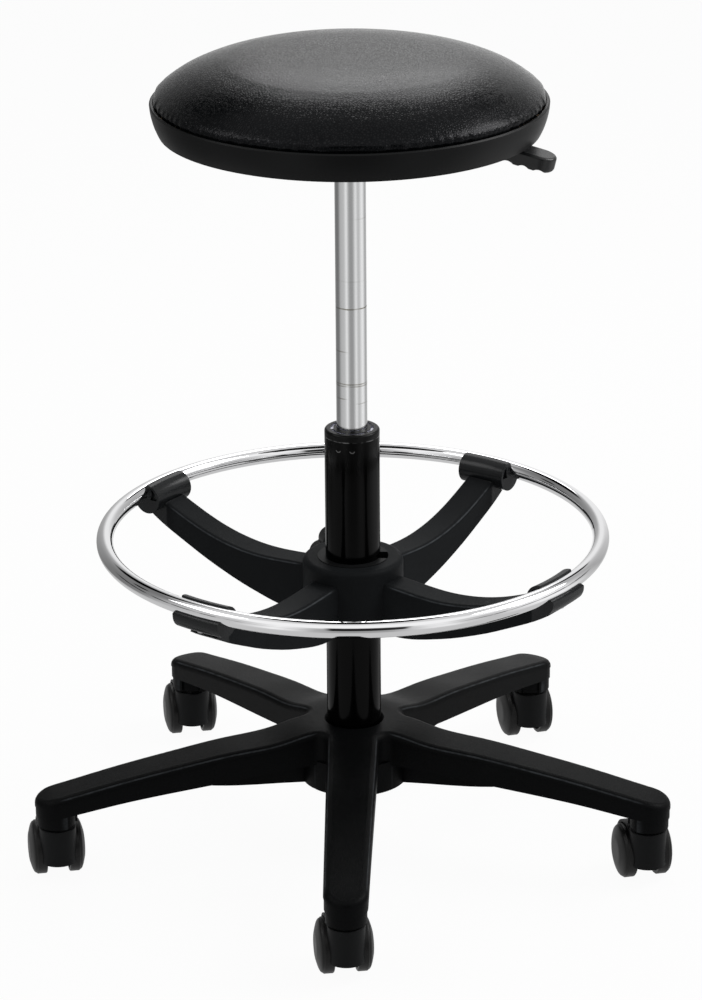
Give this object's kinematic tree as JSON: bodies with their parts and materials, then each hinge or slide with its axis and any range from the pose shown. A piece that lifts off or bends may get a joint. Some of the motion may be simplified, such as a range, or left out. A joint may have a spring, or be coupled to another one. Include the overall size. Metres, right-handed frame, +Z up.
{
  "type": "drafting chair",
  "caption": "Backless round drafting stool with gas height adjustment, chromed foot ring and hooded swivel casters on a star base.",
  "frame": {"origin": "on the floor, on the axis of the gas column", "axes": "+Z up along the column, -Y towards the front"},
  "size_m": [0.5921, 0.5857, 0.7558],
  "materials": {
    "base_nylon": "matt black glass-filled nylon, fine moulded grain",
    "ring_nylon": "matt black nylon, smooth",
    "sleeve_nylon": "dark grey nylon, satin",
    "caster_nylon": "satin black nylon",
    "wheel_nylon": "satin black nylon",
    "knob_plastic": "satin black",
    "grip_plastic": "satin black",
    "bush_plastic": "satin black",
    "pan_plastic": "satin black",
    "column_black": "gloss black enamel",
    "plate_black": "satin black paint",
    "rod_steel": "ground bright steel",
    "plain_steel": "zinc-plated, satin",
    "ring_chrome": "polished chrome",
    "seat_vinyl": "black leather-grain vinyl, soft sheen",
    "board_plywood": "raw plywood",
    "rubber_black": "matt",
    "brass": "turned"
  },
  "bodies": {
    "base": {"base_star": "base_nylon", "stem_sockets": "plain_steel", "caster_stem_1": "plain_steel", "caster_stem_2": "plain_steel", "caster_stem_3": "plain_steel", "caster_stem_4": "plain_steel", "caster_stem_5": "plain_steel", "outer_column": "column_black", "column_floor": "plain_steel", "guide_bush": "bush_plastic", "lower_race": "plain_steel"},
    "lift_rod": {"piston_rod": "rod_steel", "piston": "plain_steel", "retaining_clip": "plain_steel", "upper_race": "plain_steel", "bearing_cage": "bush_plastic", "bearing_balls": "plain_steel", "bump_rubber": "rubber_black"},
    "seat": {"gas_cylinder": "rod_steel", "taper_socket": "plate_black", "seat_plate": "plate_black", "lever_pivot_pin": "plain_steel", "seat_pan": "pan_plastic", "seat_board": "board_plywood", "seat_cushion": "seat_vinyl", "seat_screws": "plain_steel", "t_nuts": "plain_steel"},
    "lever": {"lever_rod": "plate_black", "lever_grip": "grip_plastic"},
    "release_pin": {"release_pin": "plain_steel"},
    "ring_carrier": {"split_sleeve": "sleeve_nylon"},
    "ring": {"ring_spider": "ring_nylon", "foot_ring": "ring_chrome", "ring_screws": "plain_steel", "knob_insert": "brass"},
    "pad": {"clamp_pad": "bush_plastic"},
    "knob": {"lock_knob": "knob_plastic", "knob_stud": "plain_steel"},
    "caster_1": {"caster_hood_1": "caster_nylon", "caster_axle_1": "plain_steel"},
    "left_wheel_1": {"wheel_left_1": "wheel_nylon"},
    "right_wheel_1": {"wheel_right_1": "wheel_nylon"},
    "caster_2": {"caster_hood_2": "caster_nylon", "caster_axle_2": "plain_steel"},
    "left_wheel_2": {"wheel_left_2": "wheel_nylon"},
    "right_wheel_2": {"wheel_right_2": "wheel_nylon"},
    "caster_3": {"caster_hood_3": "caster_nylon", "caster_axle_3": "plain_steel"},
    "left_wheel_3": {"wheel_left_3": "wheel_nylon"},
    "right_wheel_3": {"wheel_right_3": "wheel_nylon"},
    "caster_4": {"caster_hood_4": "caster_nylon", "caster_axle_4": "plain_steel"},
    "left_wheel_4": {"wheel_left_4": "wheel_nylon"},
    "right_wheel_4": {"wheel_right_4": "wheel_nylon"},
    "caster_5": {"caster_hood_5": "caster_nylon", "caster_axle_5": "plain_steel"},
    "left_wheel_5": {"wheel_left_5": "wheel_nylon"},
    "right_wheel_5": {"wheel_right_5": "wheel_nylon"}
  },
  "joints": [
    {"name": "seat_swivel", "type": "hinge", "parent": "base", "child": "lift_rod", "pos_m": [0, 0, 0.07], "axis": [0, 0, 1], "continuous": true},
    {"name": "height_slide", "type": "slide", "parent": "lift_rod", "child": "seat", "axis": [0, 0, 1], "range_m": [-0.225, 0]},
    {"name": "lever_lift", "type": "hinge", "parent": "seat", "child": "lever", "pos_m": [0.03381, -0.00906, 0.6829], "axis": [-0.2588, -0.9659, 0], "range_deg": [0, 3.6], "stiffness_Nm_per_rad": 10, "springref_deg": -5.73},
    {"name": "release_pin_slide", "type": "slide", "parent": "seat", "child": "release_pin", "axis": [0, 0, 1], "range_m": [-0.0023, 0]},
    {"name": "ring_slide", "type": "slide", "parent": "base", "child": "ring_carrier", "axis": [0, 0, 1], "range_m": [-0.09, 0.1]},
    {"name": "ring_turn", "type": "hinge", "parent": "ring_carrier", "child": "ring", "pos_m": [0, 0, 0.26], "axis": [0, 0, 1], "continuous": true},
    {"name": "pad_travel", "type": "slide", "parent": "ring", "child": "pad", "axis": [-0.225, 0.9744, 0], "range_m": [0, 0.0023]},
    {"name": "lock_knob_turn", "type": "hinge", "parent": "pad", "child": "knob", "pos_m": [-0.01462, 0.06333, 0.263], "axis": [-0.225, 0.9744, 0], "range_deg": [0, 540]},
    {"name": "caster_swivel_1", "type": "hinge", "parent": "base", "child": "caster_1", "pos_m": [-0.00831, -0.28318, 0.05], "axis": [0, 0, 1], "continuous": true},
    {"name": "left_wheel_spin_1", "type": "hinge", "parent": "caster_1", "child": "left_wheel_1", "pos_m": [-0.01081, -0.26535, 0.025], "axis": [0.9903, 0.1392, 0], "continuous": true},
    {"name": "right_wheel_spin_1", "type": "hinge", "parent": "caster_1", "child": "right_wheel_1", "pos_m": [-0.01081, -0.26535, 0.025], "axis": [0.9903, 0.1392, 0], "continuous": true},
    {"name": "caster_swivel_2", "type": "hinge", "parent": "base", "child": "caster_2", "pos_m": [0.26675, -0.09541, 0.05], "axis": [0, 0, 1], "continuous": true},
    {"name": "left_wheel_spin_2", "type": "hinge", "parent": "caster_2", "child": "left_wheel_2", "pos_m": [0.2627, -0.07787, 0.025], "axis": [0.9744, 0.225, 0], "continuous": true},
    {"name": "right_wheel_spin_2", "type": "hinge", "parent": "caster_2", "child": "right_wheel_2", "pos_m": [0.2627, -0.07787, 0.025], "axis": [0.9744, 0.225, 0], "continuous": true},
    {"name": "caster_swivel_3", "type": "hinge", "parent": "base", "child": "caster_3", "pos_m": [0.17317, 0.22421, 0.05], "axis": [0, 0, 1], "continuous": true},
    {"name": "left_wheel_spin_3", "type": "hinge", "parent": "caster_3", "child": "left_wheel_3", "pos_m": [0.16851, 0.2416, 0.025], "axis": [0.9659, 0.2588, 0], "continuous": true},
    {"name": "right_wheel_spin_3", "type": "hinge", "parent": "caster_3", "child": "right_wheel_3", "pos_m": [0.16851, 0.2416, 0.025], "axis": [0.9659, 0.2588, 0], "continuous": true},
    {"name": "caster_swivel_4", "type": "hinge", "parent": "base", "child": "caster_4", "pos_m": [-0.15973, 0.23398, 0.05], "axis": [0, 0, 1], "continuous": true},
    {"name": "left_wheel_spin_4", "type": "hinge", "parent": "caster_4", "child": "left_wheel_4", "pos_m": [-0.16285, 0.2517, 0.025], "axis": [0.9848, 0.1736, 0], "continuous": true},
    {"name": "right_wheel_spin_4", "type": "hinge", "parent": "caster_4", "child": "right_wheel_4", "pos_m": [-0.16285, 0.2517, 0.025], "axis": [0.9848, 0.1736, 0], "continuous": true},
    {"name": "caster_swivel_5", "type": "hinge", "parent": "base", "child": "caster_5", "pos_m": [-0.27188, -0.07961, 0.05], "axis": [0, 0, 1], "continuous": true},
    {"name": "left_wheel_spin_5", "type": "hinge", "parent": "caster_5", "child": "left_wheel_5", "pos_m": [-0.27501, -0.06188, 0.025], "axis": [0.9848, 0.1736, 0], "continuous": true},
    {"name": "right_wheel_spin_5", "type": "hinge", "parent": "caster_5", "child": "right_wheel_5", "pos_m": [-0.27501, -0.06188, 0.025], "axis": [0.9848, 0.1736, 0], "continuous": true}
  ],
  "couplings": [
    {"joint": "release_pin_slide", "follows": "lever_lift", "m_per_rad": -0.035},
    {"joint": "pad_travel", "follows": "lock_knob_turn", "m_per_rad": 0.00023873}
  ]
}
